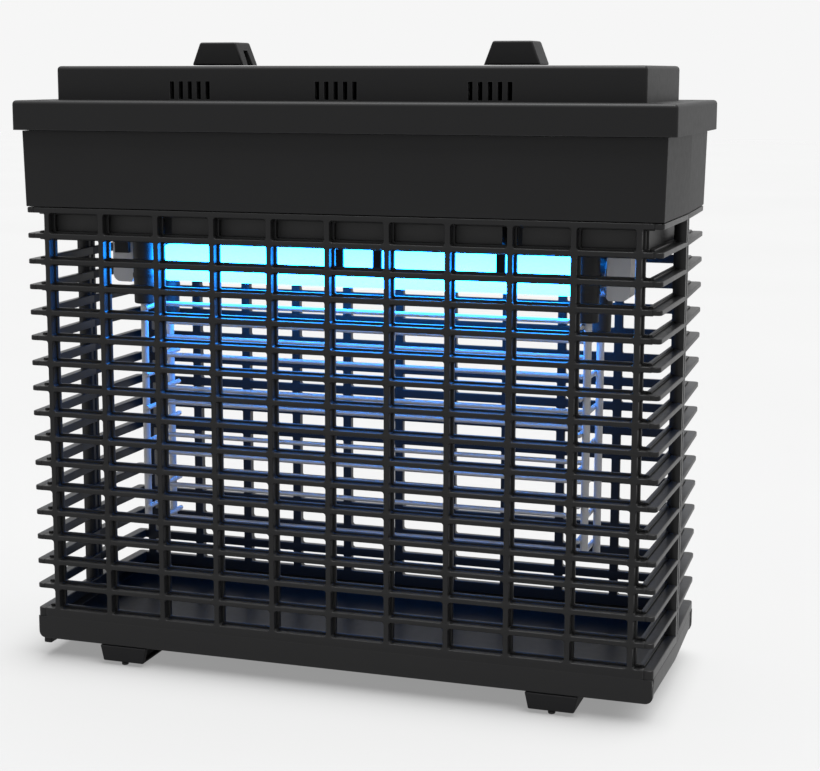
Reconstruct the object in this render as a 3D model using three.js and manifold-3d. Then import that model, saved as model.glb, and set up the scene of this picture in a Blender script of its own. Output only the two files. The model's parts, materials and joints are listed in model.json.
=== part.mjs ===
// Electric bug zapper: a lidded ballast housing over a finned grille cage that holds one UV
// lamp above a two-pole wire grid, with a slide-out catch tray between the grille skirts.
// Millimetres, +Z up. The front faces -Y, the length runs along X, and the origin is on the
// floor at the centre of the footprint.
import * as THREE from 'three';
import { mergeVertices } from 'three/addons/utils/BufferGeometryUtils.js';
import Module from 'manifold-3d';

const wasm = await Module();
wasm.setup();

// ---- driving dimensions -------------------------------------------------------------------
const GAP = 0.3; // clearance between pieces that meet

const CAGE_HALF_X = 133.7; // grille cage, half length at its front and rear faces
const CAGE_HALF_Y = 50; // grille cage, half depth
const RIDGE = 1.2; // how far the ends bulge at the parting plane, from the mould draft
const CORNER_R = 1.7; // vertical corner rounding of fins and flange
const WALL = 6; // depth of fins and ribs, front to back

const FOOT_CLEAR = 1.2; // height of the nub under each foot
const FOOT_TOP = 8.3;
const SKIRT_BOTTOM = 8.6;
const SKIRT_TOP = 22.2;
const SKIRT_THICK = 3.2;
const FRAME_BOTTOM = 18.4; // underside of the cage's end frame, over the tray's end wall
const FIN_COUNT = 15;
const FIN_PITCH = 10.82;
const FIN_THICK = 2.1;
const LOWEST_FIN_Z = 32; // centre of the lowest fin
const FLANGE_BOTTOM = 193.1;
const FLANGE_TOP = 195.4;
const RIB_COUNT = 11;
const RIB_PITCH = 24.87;
const RIB_THICK = 2.2;
const POST_X = 4.9; // end post on the parting plane
const POST_HALF_Y = 3.75;
const RAIL_INNER_Y = 36; // the tray runs on rails that reach in from both skirts
const RAIL_THICK = 2;

const HOUSING_TOP = 227.1;
const HOUSING_WALL = 2.4;
const HOUSING_FLARE = 0.0052; // how much wider the housing's top is than its foot, per side
const RIM_HALF_X = 138;
const RIM_HALF_Y = 52.2;
const RIM_BOTTOM = 227.4;
const RIM_TOP = 239.6;
const RAISED_HALF_X = 124;
const RAISED_HALF_Y = 38.5;
const RAISED_TOP = 253.6;
const LID_WALL = 2.4;
const VENT_GROUP_X = 63.2;
const VENT_PITCH = 3.95;
const VENT_WIDTH = 1.9;
const VENTS_PER_GROUP = 5;

const LUG_X = 64; // hanger lugs on the lid
const LUG_TOP = 263.5;
const LUG_HALF_Y = 8;
const SLOT_HALF_Y = 2.3;
const SLOT_HEIGHT = 6.3;
const LUG_FOOT_HALF_X = 11.8;
const LUG_TOP_HALF_X = 8.1;

const LAMP_Z = 168.7; // T5 lamp, 16 mm across
const LAMP_R = 8;
const GLASS_HALF_X = 94.6;
const CAP_HALF_X = 104.1;
const PIN_SPACING = 4.75;
const HOLDER_IN_X = 104.5;
const HOLDER_OUT_X = 114.1;
const HOLDER_HALF_Y = 10;
const POCKET_X = [70, 78]; // finger pockets in the lamp carrier's skirt
const POCKET_DEPTH = 9;
const CLIP_X = [105.5, 112]; // clip that keeps each lamp holder in its place
const CLIP_BOTTOM = 173.5;
const CARRIER_TOP = 195.1;
const CARRIER_BOTTOM = 192.8;
const CARRIER_HALF_X = 127;
const CARRIER_HALF_Y = 43.4;

const ROD_X = 98; // electrode rods
const ROD_Y = 13;
const ROD_R = 1.6;
const FRONT_ROD_BOTTOM = 54;
const REAR_ROD_BOTTOM = 49;
const WIRE_R = 1.05;
const STUB_OVERHANG = 3.8; // how far a cross stub sticks out past its rod
const WIRES_PER_POLE = 7;
const TOP_WIRE_Z = 150.3;
const WIRE_STEP = 14.7; // between wires of the same pole
const POLE_OFFSET = 8.1; // the rear pole's wires hang this far below the front pole's
const FRONT_INSULATOR_BOTTOM = 152;
const REAR_INSULATOR_BOTTOM = 144.7;
const ROD_GRIP = 13; // how far a rod reaches up into its insulator

const TRAY_HALF_X = 133.4;
const TRAY_HALF_Y = 46.3;
const TRAY_BOTTOM = 10.9;
const TRAY_TOP = 18;
const TRAY_WALL = 1.6;

const FOOT_X = 93.5;
const FOOT_TOP_HALF_X = 10.8;
const FOOT_BOTTOM_HALF_X = 9.3;
const FOOT_DEPTH = 26;
const SCREW_X = 128.5;
const SCREW_Y = 44.5;
const SCREW_HOLE_R = 1.8;
const LEAD_X = 118; // holes for the lamp's leads
const SWITCH_X = -78;
const GLAND_X = 96;
const REAR_FITTINGS_Z = 212;

// ---- materials ----------------------------------------------------------------------------
const finish = (color, roughness, metalness = 0) =>
  new THREE.MeshStandardMaterial({ color, roughness, metalness });
const blackPlastic = finish(0x2a2a2a, 0.55);
const trayPlastic = finish(0x242526, 0.35);
const holderPlastic = finish(0x77777a, 0.6);
const insulatorPlastic = finish(0x1c1c1e, 0.5);
const rubberPad = finish(0x151515, 0.85);
const lampGlass = finish(0xb8ffff, 0.2);
const zincSteel = finish(0xa4a6aa, 0.35, 0.9);
const aluminium = finish(0xc4c7cb, 0.3, 0.9);
const boardGreen = finish(0x1f5a38, 0.5);
const coreGrey = finish(0x3a3a3d, 0.7);
const filmYellow = finish(0xc79a2c, 0.4);

// ---- solids -------------------------------------------------------------------------------
function toSolid(geometry) {
  const bare = geometry.clone();
  bare.deleteAttribute('normal');
  bare.deleteAttribute('uv');
  const merged = mergeVertices(bare, 1e-4);
  return new wasm.Manifold(new wasm.Mesh({
    numProp: 3,
    vertProperties: new Float32Array(merged.attributes.position.array),
    triVerts: new Uint32Array(merged.index.array),
  }));
}

function toGeometry(solid) {
  const mesh = solid.getMesh();
  const geometry = new THREE.BufferGeometry();
  geometry.setAttribute('position', new THREE.BufferAttribute(mesh.vertProperties, 3));
  geometry.setIndex(new THREE.BufferAttribute(mesh.triVerts, 1));
  geometry.computeVertexNormals();
  return geometry;
}

const span = (a, b) => (a < b ? [a, b] : [b, a]);
const join = (solids) => solids.reduce((sum, solid) => sum.add(solid));
const cut = (solid, tools) => tools.reduce((rest, tool) => rest.subtract(tool), solid);

// A block given by its low and high corner on each axis.
function block([x0, x1], [y0, y1], [z0, z1]) {
  const geometry = new THREE.BoxGeometry(x1 - x0, y1 - y0, z1 - z0);
  geometry.translate((x0 + x1) / 2, (y0 + y1) / 2, (z0 + z1) / 2);
  return toSolid(geometry);
}

// A flat outline in X and Y, extruded from z0 to z1.
function slab(shape, z0, z1) {
  const geometry = new THREE.ExtrudeGeometry(shape, {
    depth: z1 - z0, bevelEnabled: false, curveSegments: 3,
  });
  geometry.translate(0, 0, z0);
  return toSolid(geometry);
}

// A flat outline in X and Z, extruded from y0 to y1.
function frontOutline(shape, y0, y1) {
  const geometry = new THREE.ExtrudeGeometry(shape, {
    depth: y1 - y0, bevelEnabled: false, curveSegments: 4,
  });
  geometry.rotateX(Math.PI / 2);
  geometry.translate(0, y1, 0);
  return toSolid(geometry);
}

// A round bar or cone from one point to another; endRadius is the radius at the second point.
function bar(from, to, radius, sides = 20, endRadius = radius) {
  const a = new THREE.Vector3(...from);
  const b = new THREE.Vector3(...to);
  const axis = b.clone().sub(a);
  const geometry = new THREE.CylinderGeometry(endRadius, radius, axis.length(), sides);
  const turn = new THREE.Quaternion().setFromUnitVectors(
    new THREE.Vector3(0, 1, 0), axis.clone().normalize());
  geometry.applyQuaternion(turn);
  geometry.translate(...a.add(b).multiplyScalar(0.5).toArray());
  return toSolid(geometry);
}

// A profile of [radius, height] points turned about Z, then moved.
function turned(profile, x, y, z, sides = 20) {
  const points = profile.map(([r, h]) => new THREE.Vector2(r, h));
  const geometry = new THREE.LatheGeometry(points, sides);
  geometry.rotateX(Math.PI / 2);
  geometry.translate(x, y, z);
  return toSolid(geometry);
}

function outline(points) {
  return new THREE.Shape(points.map(([x, y]) => new THREE.Vector2(x, y)));
}

const zapper = new THREE.Group();

function place(name, solid, material) {
  const mesh = new THREE.Mesh(toGeometry(solid), material);
  mesh.name = name;
  zapper.add(mesh);
  return mesh;
}

const SIDES = [['left', -1], ['right', 1]];
const CORNERS = [
  ['front_left', -1, -1], ['front_right', 1, -1], ['rear_left', -1, 1], ['rear_right', 1, 1],
];

// ---- lid ----------------------------------------------------------------------------------
// An upright bar on the axis of one corner's cover screw.
function screwBar([, sx, sy], z0, z1, radius) {
  return bar([sx * SCREW_X, sy * SCREW_Y, z0], [sx * SCREW_X, sy * SCREW_Y, z1], radius, 16);
}

function ventSlots() {
  const slots = [];
  for (let group = -1; group <= 1; group += 1) {
    for (let i = 0; i < VENTS_PER_GROUP; i += 1) {
      const x = group * VENT_GROUP_X + (i - (VENTS_PER_GROUP - 1) / 2) * VENT_PITCH;
      const width = [x - VENT_WIDTH / 2, x + VENT_WIDTH / 2];
      const height = [RIM_TOP + 0.6, RAISED_TOP - 6.2];
      slots.push(block(width, [-RAISED_HALF_Y - 1, -RAISED_HALF_Y + LID_WALL + 1], height));
      slots.push(block(width, [RAISED_HALF_Y - LID_WALL - 1, RAISED_HALF_Y + 1], height));
    }
  }
  return slots;
}

function addTopCover() {
  const rim = block([-RIM_HALF_X, RIM_HALF_X], [-RIM_HALF_Y, RIM_HALF_Y], [RIM_BOTTOM, RIM_TOP]);
  const raised = block([-RAISED_HALF_X, RAISED_HALF_X], [-RAISED_HALF_Y, RAISED_HALF_Y],
    [RIM_TOP - 1, RAISED_TOP]);
  const rimHollow = block([-RIM_HALF_X + 6, RIM_HALF_X - 6], [-RIM_HALF_Y + 5, RIM_HALF_Y - 5],
    [RIM_BOTTOM - 1, RIM_TOP - LID_WALL]);
  const raisedHollow = block(
    [-RAISED_HALF_X + LID_WALL, RAISED_HALF_X - LID_WALL],
    [-RAISED_HALF_Y + LID_WALL, RAISED_HALF_Y - LID_WALL],
    [RIM_BOTTOM, RAISED_TOP - LID_WALL]);
  const shell = cut(rim.add(raised), [rimHollow, raisedHollow, ...ventSlots()]);
  const bosses = CORNERS.map((corner) => screwBar(corner, RIM_BOTTOM, RIM_TOP - 1, 4.4));
  const screwHoles = CORNERS.flatMap((corner) => [
    screwBar(corner, RIM_BOTTOM - 1, RIM_TOP, SCREW_HOLE_R),
    screwBar(corner, RIM_TOP - 3, RIM_TOP + 1, 3.3),
  ]);
  place('top_cover', cut(join([shell, ...bosses]), screwHoles), blackPlastic);
}

function addCoverScrews() {
  for (const [corner, sx, sy] of CORNERS) {
    const head = turned([[0, -12], [1.5, -12], [1.5, -2], [3, -2], [3, -0.6], [2.2, 0], [0, 0]],
      sx * SCREW_X, sy * SCREW_Y, RIM_TOP - 0.4, 14);
    place(`cover_screw_${corner}`, head, zincSteel);
  }
}

// A trapezoid lug, hollow, with a slot through the side that faces the middle of the lid.
function addHangerLugs() {
  for (const [side, s] of SIDES) {
    const foot = RAISED_TOP + GAP;
    const body = frontOutline(outline([
      [s * LUG_X - LUG_FOOT_HALF_X, foot], [s * LUG_X + LUG_FOOT_HALF_X, foot],
      [s * LUG_X + LUG_TOP_HALF_X, LUG_TOP], [s * LUG_X - LUG_TOP_HALF_X, LUG_TOP],
    ]), -LUG_HALF_Y, LUG_HALF_Y);
    const slotX = span(s * (LUG_X + 6.5), s * (LUG_X - 13));
    const slot = block(slotX, [-SLOT_HALF_Y, SLOT_HALF_Y], [foot - 1, foot + SLOT_HEIGHT]);
    place(`hanger_lug_${side}`, body.subtract(slot), blackPlastic);
  }
}

// ---- ballast housing ----------------------------------------------------------------------
// The housing's plan: six corners, with the ends drawn out to a ridge at mid depth.
function endRidgePlan(halfX, halfY, ridge) {
  return outline([
    [-halfX, -halfY], [halfX, -halfY], [halfX + ridge, 0],
    [halfX, halfY], [-halfX, halfY], [-halfX - ridge, 0],
  ]);
}

// The same prism, flared towards its top by the housing's draft.
function flaredPrism(halfX, halfY, ridge, z0, z1) {
  const geometry = new THREE.ExtrudeGeometry(endRidgePlan(halfX, halfY, ridge),
    { depth: z1 - z0, bevelEnabled: false });
  geometry.translate(0, 0, z0);
  const position = geometry.attributes.position;
  for (let i = 0; i < position.count; i += 1) {
    const grow = 1 + HOUSING_FLARE * (position.getZ(i) - z0) / (z1 - z0);
    position.setXY(i, position.getX(i) * grow, position.getY(i) * grow);
  }
  return toSolid(geometry);
}

// The two holes that the lamp's leads pass through, on their way down to the lamp holders.
function leadHoles(z0, z1) {
  return SIDES.map(([, s]) => bar([s * LEAD_X, 0, z0], [s * LEAD_X, 0, z1], 3.5, 12));
}

function addBallastHousing() {
  const foot = FLANGE_TOP + GAP;
  const outer = flaredPrism(CAGE_HALF_X, CAGE_HALF_Y, RIDGE, foot, HOUSING_TOP);
  const inner = flaredPrism(CAGE_HALF_X - HOUSING_WALL, CAGE_HALF_Y - HOUSING_WALL, RIDGE,
    foot + HOUSING_WALL, HOUSING_TOP + 1);
  const bosses = CORNERS.map((corner) => screwBar(corner, foot + 1, HOUSING_TOP, 4));
  const standoffs = [];
  for (const x of [22, 98]) {
    for (const y of [-26, 26]) {
      standoffs.push(bar([x, y, foot + 1], [x, y, foot + 7], 3, 12));
    }
  }
  const pilotHoles = CORNERS.map((corner) =>
    screwBar(corner, HOUSING_TOP - 14, HOUSING_TOP + 1, SCREW_HOLE_R));
  const rearY = [CAGE_HALF_Y - HOUSING_WALL - 1, CAGE_HALF_Y + 2];
  const switchHole = block([SWITCH_X - 9.9, SWITCH_X + 9.9], rearY,
    [REAR_FITTINGS_Z - 6.8, REAR_FITTINGS_Z + 6.8]);
  const glandHole = bar([GLAND_X, rearY[0], REAR_FITTINGS_Z], [GLAND_X, rearY[1], REAR_FITTINGS_Z],
    5.8, 20);
  const body = cut(join([outer.subtract(inner), ...bosses, ...standoffs]),
    [...pilotHoles, ...leadHoles(foot - 1, foot + 4), switchHole, glandHole]);
  place('ballast_housing', body, blackPlastic);
}

// ---- electronics in the housing -----------------------------------------------------------
function addElectronics() {
  const boardZ = FLANGE_TOP + GAP + 7 + GAP;
  const boardTop = boardZ + 1.6;
  place('circuit_board', block([16, 104], [-32, 32], [boardZ, boardTop]), boardGreen);
  const core = join([
    block([24, 50], [-14, 14], [boardTop + GAP, boardTop + 5]),
    block([24, 50], [-14, 14], [boardTop + 17, boardTop + 22]),
    block([33, 41], [-6, 6], [boardTop + 4, boardTop + 18]),
    block([24, 50], [-14, -11], [boardTop + 4, boardTop + 18]),
    block([24, 50], [11, 14], [boardTop + 4, boardTop + 18]),
  ]);
  place('high_voltage_transformer', core, coreGrey);
  for (let i = 0; i < 3; i += 1) {
    const x = 62 + i * 13;
    place(`voltage_multiplier_capacitor_${i + 1}`,
      block([x - 4.5, x + 4.5], [-26, -8], [boardTop + GAP, boardTop + 14]), filmYellow);
  }
  place('smoothing_capacitor', turned(
    [[0, 0], [6.2, 0], [6.5, 0.5], [6.5, 19.5], [5.8, 20], [0, 20]],
    76, 14, boardTop + GAP, 18), insulatorPlastic);
  const choke = join([
    block([-86, -26], [-20, 20], [FLANGE_TOP + GAP + HOUSING_WALL + GAP, 224]),
    block([-96, -16], [-12, 12], [FLANGE_TOP + GAP + HOUSING_WALL + GAP, 200.4]),
  ]);
  place('lamp_ballast', choke, coreGrey);
  const terminal = cut(block([106, 122], [6, 34], [198.5, 211]),
    [12, 20, 28].map((y) => bar([114, y, 203], [114, y, 212], 2, 10)));
  place('terminal_block', terminal, holderPlastic);
}

// ---- rear fittings ------------------------------------------------------------------------
// Both fittings stay within the lid's overhang, so that nothing reaches past the rim.
function addRearFittings() {
  const z = REAR_FITTINGS_Z;
  const wallOut = CAGE_HALF_Y + 0.45;
  const around = (halfX, y, halfZ) =>
    block([SWITCH_X - halfX, SWITCH_X + halfX], y, [z - halfZ, z + halfZ]);
  const flange = around(11.5, [wallOut, wallOut + 1.1], 8.4);
  const sleeve = around(9.5, [wallOut - 14, wallOut + 0.5], 6.4);
  const well = around(8.1, [wallOut - 11, wallOut + 2], 4.9);
  place('switch_bezel', flange.add(sleeve).subtract(well), blackPlastic);

  const profile = [
    [3.4, -9], [5.4, -9], [5.4, 0], [7.6, 0], [7.6, 0.6], [6.4, 1.4], [3.4, 1.4], [3.4, -9],
  ];
  const gland = new THREE.LatheGeometry(profile.map(([r, h]) => new THREE.Vector2(r, h)), 20);
  gland.translate(GLAND_X, wallOut, z);
  place('cable_inlet_gland', toSolid(gland), rubberPad);
}

// A rocker that rests tipped to one side. It swings through twice this tilt about its pivot.
const ROCKER_TILT = THREE.MathUtils.degToRad(9);
function addRocker() {
  const shape = outline([
    [-7.2, 0.6], [0, -0.9], [7.2, 0.6], [6.2, -4.6], [2, -7.6], [-2, -7.6], [-6.2, -4.6],
  ]);
  const geometry = new THREE.ExtrudeGeometry(shape, { depth: 9.2, bevelEnabled: false });
  geometry.translate(0, 0, -4.6);
  const mesh = place('power_rocker', toSolid(geometry), insulatorPlastic);
  mesh.position.set(SWITCH_X, CAGE_HALF_Y + 0.35, REAR_FITTINGS_Z);
  mesh.rotation.z = ROCKER_TILT;
}

// ---- lamp bay -----------------------------------------------------------------------------
// The plate under the housing. A short skirt with four finger pockets stands behind the
// grille's top row of openings. Two clips keep the lamp holders in place: on the left in front,
// on the right behind.
function addLampCarrier() {
  const skirtZ = [LOWEST_FIN_Z + (FIN_COUNT - 1) * FIN_PITCH, CARRIER_BOTTOM + 1];
  const plate = block([-CARRIER_HALF_X, CARRIER_HALF_X], [-CARRIER_HALF_Y, CARRIER_HALF_Y],
    [CARRIER_BOTTOM, CARRIER_TOP]);
  const [near, far] = POCKET_X;
  const pocketY = CARRIER_HALF_Y - POCKET_DEPTH;
  const panels = [];
  for (const sy of [-1, 1]) {
    const y = span(sy * CARRIER_HALF_Y, sy * (CARRIER_HALF_Y - 1.8));
    for (const x of [[-CARRIER_HALF_X, -far], [-near, near], [far, CARRIER_HALF_X]]) {
      panels.push(block(x, y, skirtZ));
    }
    for (const [, sx] of SIDES) {
      const wallY = span(sy * CARRIER_HALF_Y, sy * pocketY);
      panels.push(block(span(sx * (near - 1.2), sx * near), wallY, skirtZ));
      panels.push(block(span(sx * far, sx * (far + 1.2)), wallY, skirtZ));
      panels.push(block(span(sx * (near - 1.2), sx * (far + 1.2)),
        span(sy * pocketY, sy * (pocketY + 1.4)), skirtZ));
    }
  }
  for (const [, sx] of SIDES) {
    panels.push(block(span(sx * CARRIER_HALF_X, sx * (CARRIER_HALF_X - 1.8)),
      [1 - CARRIER_HALF_Y, CARRIER_HALF_Y - 1], skirtZ));
    panels.push(block(span(sx * CLIP_X[0], sx * CLIP_X[1]),
      span(sx * (HOLDER_HALF_Y + GAP), sx * (HOLDER_HALF_Y + 2.4)),
      [CLIP_BOTTOM, CARRIER_BOTTOM + 1]));
  }
  const holes = leadHoles(CARRIER_BOTTOM - 1, CARRIER_TOP + 1);
  place('lamp_carrier', cut(join([plate, ...panels]), holes), blackPlastic);
}

function addLamp() {
  const shoulder = 2.5;
  const profile = [[0, -GLASS_HALF_X], [LAMP_R - shoulder, -GLASS_HALF_X]];
  for (let i = 1; i <= 3; i += 1) {
    const angle = i * Math.PI / 6;
    profile.push([LAMP_R - shoulder + shoulder * Math.sin(angle),
      -GLASS_HALF_X + shoulder - shoulder * Math.cos(angle)]);
  }
  const mirrored = profile.slice().reverse().map(([r, h]) => [r, -h]);
  const glass = new THREE.LatheGeometry(
    [...profile, ...mirrored].map(([r, h]) => new THREE.Vector2(r, h)), 24);
  glass.rotateZ(-Math.PI / 2);
  glass.translate(0, 0, LAMP_Z);
  place('uv_lamp_tube', toSolid(glass), lampGlass);

  for (const [side, s] of SIDES) {
    const cap = bar([s * (GLASS_HALF_X + GAP), 0, LAMP_Z], [s * CAP_HALF_X, 0, LAMP_Z], LAMP_R, 24);
    const pins = [-1, 1].map((k) => bar(
      [s * (CAP_HALF_X - 1), 0, LAMP_Z + k * PIN_SPACING / 2],
      [s * (CAP_HALF_X + 6.6), 0, LAMP_Z + k * PIN_SPACING / 2], 1.15, 10));
    place(`lamp_cap_${side}`, join([cap, ...pins]), aluminium);
  }
}

// A lamp holder hangs from the carrier. Its round pocket lets the lamp's two pins turn, and
// the slot below the pocket lets them drop out once they stand upright.
function addLampHolders() {
  for (const [side, s] of SIDES) {
    const top = CARRIER_BOTTOM - GAP;
    const bottom = LAMP_Z - 8.1;
    const r = 3.6;
    const shape = new THREE.Shape();
    shape.moveTo(HOLDER_IN_X, top);
    shape.lineTo(HOLDER_IN_X, bottom + 1);
    shape.lineTo(HOLDER_IN_X + 1, bottom);
    shape.lineTo(HOLDER_OUT_X - r, bottom);
    shape.absarc(HOLDER_OUT_X - r, bottom + r, r, -Math.PI / 2, 0, false);
    shape.lineTo(HOLDER_OUT_X, top);
    const body = frontOutline(shape, -HOLDER_HALF_Y, HOLDER_HALF_Y);
    const pocket = bar([HOLDER_IN_X - 1, 0, LAMP_Z], [HOLDER_IN_X + 7.2, 0, LAMP_Z], 4.6, 20);
    const slot = block([HOLDER_IN_X - 1, HOLDER_IN_X + 7.2], [-1.7, 1.7], [bottom - 1, LAMP_Z]);
    const holder = cut(body, [pocket, slot]);
    place(`lamp_holder_${side}`, s > 0 ? holder : holder.mirror([1, 0, 0]), holderPlastic);
  }
}

// Saddles that straddle the tube from above, so that it can't be pulled up off its line.
function addLampGuards() {
  const legX = [-8.45, 8.45, 61.3];
  const halfWidth = 1.9;
  const legOut = 12.4;
  const legIn = 10.4;
  legX.forEach((x, i) => {
    const width = [x - halfWidth, x + halfWidth];
    const saddle = join([
      block(width, [-legOut, legOut], [CARRIER_BOTTOM - 2.8, CARRIER_BOTTOM - GAP]),
      block(width, [-legOut, -legIn], [LAMP_Z + 1.8, CARRIER_BOTTOM - 1]),
      block(width, [legIn, legOut], [LAMP_Z + 1.8, CARRIER_BOTTOM - 1]),
    ]);
    place(`lamp_guard_${i + 1}`, saddle, blackPlastic);
  });
}

// ---- high-voltage grid --------------------------------------------------------------------
function addInsulators() {
  for (const [corner, sx, sy] of CORNERS) {
    const bottom = sy < 0 ? FRONT_INSULATOR_BOTTOM : REAR_INSULATOR_BOTTOM;
    const at = [sx * ROD_X, sy * ROD_Y];
    const body = bar([...at, bottom], [...at, CARRIER_BOTTOM - GAP], 4.2, 20, 4.7);
    const socket = bar([...at, bottom - 1], [...at, bottom + ROD_GRIP + GAP], ROD_R + GAP, 10);
    place(`insulator_${corner}`, body.subtract(socket), insulatorPlastic);
  }
}

// One pole of the grid: two rods, and wires welded between them on short cross stubs. The
// front pole's rods stand at -Y, the rear pole's at +Y, and both poles' wires run at Y = 0,
// one pole's between the other's.
function addElectrode(name, sy, topWire, insulatorBottom, rodBottom) {
  const pieces = [];
  const stubX = ROD_X - ROD_R - WIRE_R + 0.5;
  for (const [, sx] of SIDES) {
    pieces.push(bar([sx * ROD_X, sy * ROD_Y, rodBottom],
      [sx * ROD_X, sy * ROD_Y, insulatorBottom + ROD_GRIP], ROD_R, 8));
  }
  for (let i = 0; i < WIRES_PER_POLE; i += 1) {
    const z = topWire - i * WIRE_STEP;
    pieces.push(bar([-stubX, 0, z], [stubX, 0, z], WIRE_R, 6));
    for (const [, sx] of SIDES) {
      const freeEnd = [sx * stubX, sy * (ROD_Y + STUB_OVERHANG), z];
      pieces.push(bar(freeEnd, [sx * stubX, 0, z], WIRE_R, 6));
    }
  }
  place(name, join(pieces), zincSteel);
}

// ---- grille cage --------------------------------------------------------------------------
// Plan of one horizontal ring of the front half: a bar across the front and a return along
// each end, back to the parting plane.
function halfRing(depth) {
  const r = CORNER_R;
  const back = -GAP / 2;
  const ridgeAt = (x, y) => x + RIDGE * (1 + y / CAGE_HALF_Y);
  const shape = new THREE.Shape();
  shape.moveTo(-ridgeAt(CAGE_HALF_X, back), back);
  shape.lineTo(-CAGE_HALF_X, -CAGE_HALF_Y + r);
  shape.absarc(-CAGE_HALF_X + r, -CAGE_HALF_Y + r, r, Math.PI, 1.5 * Math.PI, false);
  shape.lineTo(CAGE_HALF_X - r, -CAGE_HALF_Y);
  shape.absarc(CAGE_HALF_X - r, -CAGE_HALF_Y + r, r, -Math.PI / 2, 0, false);
  shape.lineTo(ridgeAt(CAGE_HALF_X, back), back);
  shape.lineTo(ridgeAt(CAGE_HALF_X, back) - depth, back);
  shape.lineTo(CAGE_HALF_X - depth, -CAGE_HALF_Y + depth);
  shape.lineTo(-CAGE_HALF_X + depth, -CAGE_HALF_Y + depth);
  shape.lineTo(-ridgeAt(CAGE_HALF_X, back) + depth, back);
  return shape;
}

function endPosts() {
  const outX = CAGE_HALF_X + RIDGE;
  return SIDES.map(([, s]) => {
    const postX = span(s * (outX - POST_X), s * (outX - 0.1));
    return block(postX, [-POST_HALF_Y, -GAP / 2], [SKIRT_TOP - 1, FLANGE_BOTTOM + 1]);
  });
}

// The skirt's front wall, with its two lower corners rounded, and the rail along its foot.
function skirt() {
  const r = 3;
  const shape = new THREE.Shape();
  shape.moveTo(-CAGE_HALF_X, SKIRT_TOP);
  shape.lineTo(-CAGE_HALF_X, SKIRT_BOTTOM + r);
  shape.absarc(-CAGE_HALF_X + r, SKIRT_BOTTOM + r, r, Math.PI, 1.5 * Math.PI, false);
  shape.absarc(CAGE_HALF_X - r, SKIRT_BOTTOM + r, r, -Math.PI / 2, 0, false);
  shape.lineTo(CAGE_HALF_X, SKIRT_TOP);
  const wall = frontOutline(shape, -CAGE_HALF_Y, -CAGE_HALF_Y + SKIRT_THICK);
  const rail = block([-CAGE_HALF_X + 4.6, CAGE_HALF_X - 4.6],
    [-CAGE_HALF_Y + SKIRT_THICK - 1, -RAIL_INNER_Y], [SKIRT_BOTTOM, SKIRT_BOTTOM + RAIL_THICK]);
  return wall.add(rail);
}

function frontHalfCage() {
  const ring = halfRing(WALL);
  const endFrame = slab(ring, FRAME_BOTTOM, SKIRT_TOP);
  const flange = slab(ring, FLANGE_BOTTOM, FLANGE_TOP);
  const pieces = [skirt(), endFrame, flange];
  for (let i = 0; i < FIN_COUNT; i += 1) {
    const z = LOWEST_FIN_Z + i * FIN_PITCH;
    pieces.push(slab(ring, z - FIN_THICK / 2, z + FIN_THICK / 2));
  }
  for (let i = 0; i < RIB_COUNT; i += 1) {
    const x = (i - (RIB_COUNT - 1) / 2) * RIB_PITCH;
    pieces.push(block([x - RIB_THICK / 2, x + RIB_THICK / 2],
      [-CAGE_HALF_Y, -CAGE_HALF_Y + WALL], [SKIRT_TOP - 1, FLANGE_BOTTOM + 1]));
  }
  return join([...pieces, ...endPosts()]);
}

function addCage() {
  const half = frontHalfCage();
  place('front_grille', half, blackPlastic);
  place('rear_grille', half.rotate([0, 0, 180]), blackPlastic);
}

// ---- catch tray ---------------------------------------------------------------------------
function addCatchTray() {
  const pan = slab(endRidgePlan(TRAY_HALF_X, TRAY_HALF_Y, RIDGE), TRAY_BOTTOM, TRAY_TOP);
  const hollow = slab(endRidgePlan(TRAY_HALF_X - TRAY_WALL, TRAY_HALF_Y - TRAY_WALL, RIDGE),
    TRAY_BOTTOM + TRAY_WALL, TRAY_TOP + 1);
  const lip = block([-TRAY_HALF_X, -TRAY_HALF_X + 3.6], [-TRAY_HALF_Y, TRAY_HALF_Y],
    [5.2, TRAY_BOTTOM + 1]);
  place('catch_tray', pan.subtract(hollow).add(lip), trayPlastic);
}

// ---- feet ---------------------------------------------------------------------------------
function addFeet() {
  const bottom = FOOT_CLEAR + GAP;
  for (const [corner, sx, sy] of CORNERS) {
    const x = sx * FOOT_X;
    const y = span(sy * CAGE_HALF_Y, sy * (CAGE_HALF_Y - FOOT_DEPTH));
    const body = frontOutline(outline([
      [x - FOOT_TOP_HALF_X, FOOT_TOP], [x - FOOT_BOTTOM_HALF_X, bottom],
      [x + FOOT_BOTTOM_HALF_X, bottom], [x + FOOT_TOP_HALF_X, FOOT_TOP],
    ]), y[0], y[1]);
    const pocketX = span(x - sx * 11, x - sx * 7.4);
    const pocket = block(pocketX, [y[0] + 2.4, y[1] - 2.4], [bottom + 1.2, FOOT_TOP - 1]);
    place(`foot_${corner}`, body.subtract(pocket), insulatorPlastic);
    place(`foot_nub_${corner}`, turned(
      [[0, 0], [1.2, 0], [1.5, 0.3], [1.5, FOOT_CLEAR], [0, FOOT_CLEAR]],
      x, sy * (CAGE_HALF_Y - 2), 0, 14), rubberPad);
  }
}

// ---- assembly -----------------------------------------------------------------------------
addTopCover();
addCoverScrews();
addHangerLugs();
addBallastHousing();
addElectronics();
addRearFittings();
addRocker();
addLampCarrier();
addLamp();
addLampHolders();
addLampGuards();
addInsulators();
addElectrode('electrode_grid_front', -1, TOP_WIRE_Z, FRONT_INSULATOR_BOTTOM, FRONT_ROD_BOTTOM);
addElectrode('electrode_grid_rear', 1, TOP_WIRE_Z - POLE_OFFSET, REAR_INSULATOR_BOTTOM,
  REAR_ROD_BOTTOM);
addCage();
addCatchTray();
addFeet();

export default zapper;
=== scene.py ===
"""Electric bug zapper: the visual model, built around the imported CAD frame, in metres."""
import json
import math

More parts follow.
